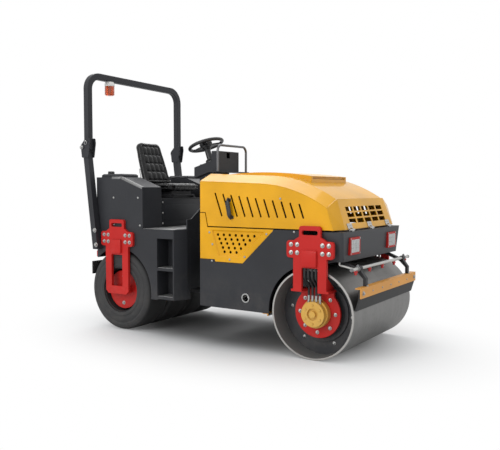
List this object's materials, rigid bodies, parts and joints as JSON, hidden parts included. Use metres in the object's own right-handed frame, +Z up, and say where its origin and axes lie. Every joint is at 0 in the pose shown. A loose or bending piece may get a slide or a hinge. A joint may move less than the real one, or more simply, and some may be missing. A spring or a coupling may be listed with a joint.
{
  "type": "combination roller",
  "caption": "Articulated combination roller with a smooth steel drum in front, smooth tyres behind, a forward-tilting slotted bonnet, an open operator's seat and a folding roll bar.",
  "frame": {"origin": "on the ground, midway between the front and rear ends and on the centre plane", "axes": "+X forward to the drum, +Y to the operator's left, +Z up"},
  "size_m": [2.8, 1.389, 2.4],
  "materials": {
    "black_plastic": "matte",
    "black_rubber": "matte",
    "bright_steel": "satin",
    "dark_steel": "matte",
    "drum_steel": "brushed",
    "gold_casting": "satin",
    "grey_paint": "satin",
    "lamp_glass": "gloss",
    "orange_lens": "gloss",
    "red_lens": "gloss",
    "red_paint": "satin",
    "seat_vinyl": "satin",
    "tan_steel": "satin",
    "tyre_rubber": "matte",
    "white_plastic": "gloss",
    "yellow_paint": "gloss"
  },
  "bodies": {
    "front_frame": {"front_side_plates": "grey_paint", "side_covers": "yellow_paint", "front_bulkhead": "grey_paint", "hinge_pin": "bright_steel", "engine_deck": "grey_paint", "engine_block": "dark_steel", "front_beam": "grey_paint", "headlamp_frames": "red_paint", "headlamp_lenses": "lamp_glass", "hinge_bases": "bright_steel", "drum_brackets": "red_paint", "drum_motors": "gold_casting", "drum_hoses": "black_rubber", "hose_fittings": "bright_steel", "scraper_blades": "black_rubber", "scraper_angles": "tan_steel", "scraper_arms": "dark_steel", "spray_bar": "white_plastic", "spray_nozzles": "red_lens", "tie_tubes": "bright_steel"},
    "bonnet": {"bonnet_sides": "yellow_paint", "bonnet_top": "yellow_paint", "bonnet_front": "yellow_paint", "hinge_leaves": "bright_steel", "bonnet_handles": "black_plastic"},
    "drum": {"drum_shell": "drum_steel", "drum_heads": "dark_steel"},
    "rear_frame": {"rear_side_plates": "grey_paint", "floor_plate": "grey_paint", "centre_box": "grey_paint", "steps": "grey_paint", "rear_panel": "grey_paint", "side_boxes": "grey_paint", "filler_cap": "black_plastic", "seat_box": "grey_paint", "toe_board": "grey_paint", "tow_lug": "red_paint", "ram_barrel": "dark_steel", "axle_brackets": "red_paint", "console": "grey_paint", "dash": "grey_paint", "guard_rail": "bright_steel", "steering_column": "black_plastic", "seat_mount": "dark_steel", "seat_cushion": "seat_vinyl", "seat_back": "seat_vinyl", "rops_posts": "grey_paint", "rear_lamps": "red_lens", "tyre_scraper": "black_rubber"},
    "ram_rod": {"ram_rod": "bright_steel"},
    "steering_wheel": {"steering_wheel": "black_plastic"},
    "rops_hoop": {"rops_hoop": "grey_paint", "beacon_base": "white_plastic", "beacon_lens": "orange_lens"},
    "rear_wheels": {"tyres": "tyre_rubber", "wheel_rims": "dark_steel"}
  },
  "joints": [
    {"name": "steer_hinge", "type": "hinge", "parent": "front_frame", "child": "rear_frame", "pos_m": [-0.125, 0, 0.585], "axis": [0, 0, 1], "range_deg": [-25, 25]},
    {"name": "ram_slide", "type": "slide", "parent": "rear_frame", "child": "ram_rod", "axis": [1, 0, 0], "range_m": [-0.085, 0.085]},
    {"name": "wheel_turn", "type": "hinge", "parent": "rear_frame", "child": "steering_wheel", "pos_m": [-0.44718, 0, 1.723], "axis": [-0.3315, 0, 0.9435], "range_deg": [-520, 520]},
    {"name": "drum_spin", "type": "hinge", "parent": "front_frame", "child": "drum", "pos_m": [1, 0, 0.35], "axis": [0, 1, 0], "continuous": true},
    {"name": "axle_spin", "type": "hinge", "parent": "rear_frame", "child": "rear_wheels", "pos_m": [-1, 0, 0.37], "axis": [0, 1, 0], "continuous": true},
    {"name": "bonnet_tilt", "type": "hinge", "parent": "front_frame", "child": "bonnet", "pos_m": [1.234, 0, 0.994], "axis": [0, 1, 0], "range_deg": [0, 60]},
    {"name": "rops_fold", "type": "hinge", "parent": "rear_frame", "child": "rops_hoop", "pos_m": [-1.378, 0, 1.696], "axis": [0, -1, 0], "range_deg": [0, 115]}
  ],
  "couplings": [
    {"joint": "ram_slide", "follows": "steer_hinge", "m_per_rad": -0.184},
    {"joint": "wheel_turn", "follows": "steer_hinge", "ratio": -20.6}
  ]
}
